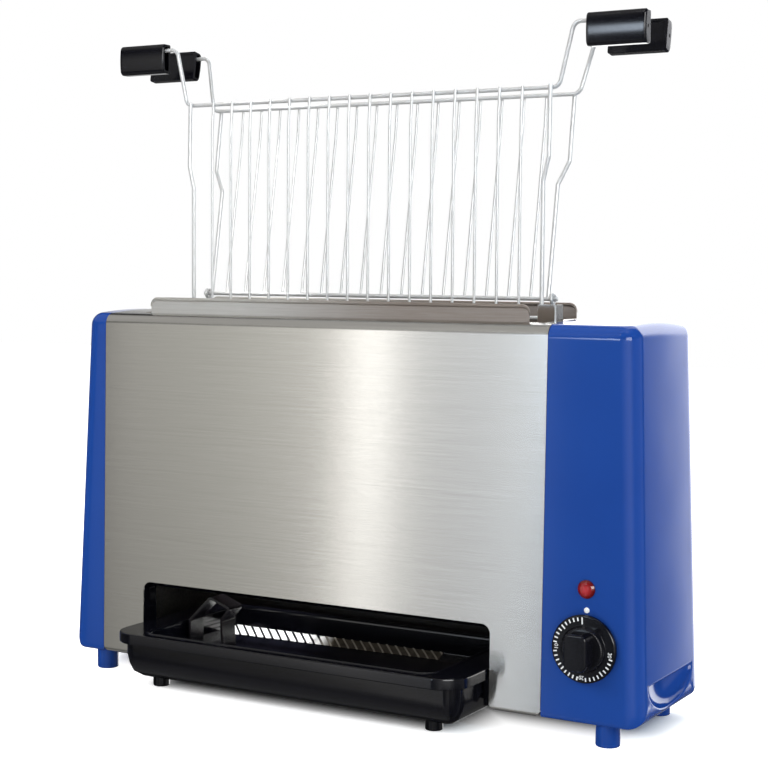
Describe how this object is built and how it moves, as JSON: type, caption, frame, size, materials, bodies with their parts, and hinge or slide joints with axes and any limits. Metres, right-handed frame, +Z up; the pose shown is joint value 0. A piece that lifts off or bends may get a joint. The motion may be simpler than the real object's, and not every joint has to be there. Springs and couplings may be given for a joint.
{
  "type": "electric grill",
  "caption": "Slim upright electric grill with a hinged wire basket that lowers into a top slot between two heaters, a timer dial and a slide-out drip tray.",
  "frame": {"origin": "on the counter under the centre of the bounding box", "axes": "+X towards the timer end, +Y towards the rear, +Z up"},
  "size_m": [0.4585, 0.1626, 0.4714],
  "materials": {
    "brushed_steel": "brushed along the length",
    "polished_steel": "polished",
    "liner_steel": "dull",
    "blue_plastic": "gloss",
    "black_plastic": "gloss",
    "inner_plastic": "matte",
    "red_lens": "gloss"
  },
  "bodies": {
    "housing": {"front_panel": "brushed_steel", "rear_panel": "brushed_steel", "slot_end_left": "brushed_steel", "slot_end_right": "brushed_steel", "base_left": "brushed_steel", "base_right": "brushed_steel", "cap_left": "blue_plastic", "cap_right": "blue_plastic", "liner_front": "polished_steel", "liner_rear": "polished_steel", "end_wall_left": "liner_steel", "end_wall_right": "liner_steel", "heater_front": "liner_steel", "heater_rear": "liner_steel", "guard_front": "polished_steel", "guard_rear": "polished_steel", "tray_bezel": "black_plastic", "timer_case": "inner_plastic", "lamp_lens": "red_lens", "lamp_holder": "inner_plastic", "cord_gland": "black_plastic", "guide_clip_left": "polished_steel", "guide_clip_right": "polished_steel", "tray_runner_left": "liner_steel", "tray_runner_right": "liner_steel"},
    "basket": {"leaf_front": "polished_steel", "top_bar_front": "polished_steel", "handle_front_left": "black_plastic", "handle_front_right": "black_plastic"},
    "rear_leaf": {"leaf_rear": "polished_steel", "top_bar_rear": "polished_steel", "handle_rear_left": "black_plastic", "handle_rear_right": "black_plastic"},
    "drawer": {"drip_tray": "black_plastic", "tray_strut": "black_plastic"},
    "dial": {"timer_dial": "black_plastic"}
  },
  "joints": [
    {"name": "basket_lift", "type": "slide", "parent": "housing", "child": "basket", "axis": [0, 0, 1], "range_m": [-0.172, 0.03]},
    {"name": "rear_leaf_hinge", "type": "hinge", "parent": "basket", "child": "rear_leaf", "pos_m": [-0.0066, 0.026, 0.2839], "axis": [1, 0, 0], "range_deg": [0, 9.4]},
    {"name": "tray_slide", "type": "slide", "parent": "housing", "child": "drawer", "axis": [0, -1, 0], "range_m": [0, 0.14]},
    {"name": "timer_turn", "type": "hinge", "parent": "housing", "child": "dial", "pos_m": [0.1914, -0.04225, 0.0634], "axis": [0, 1, 0], "range_deg": [0, 262.5]}
  ]
}
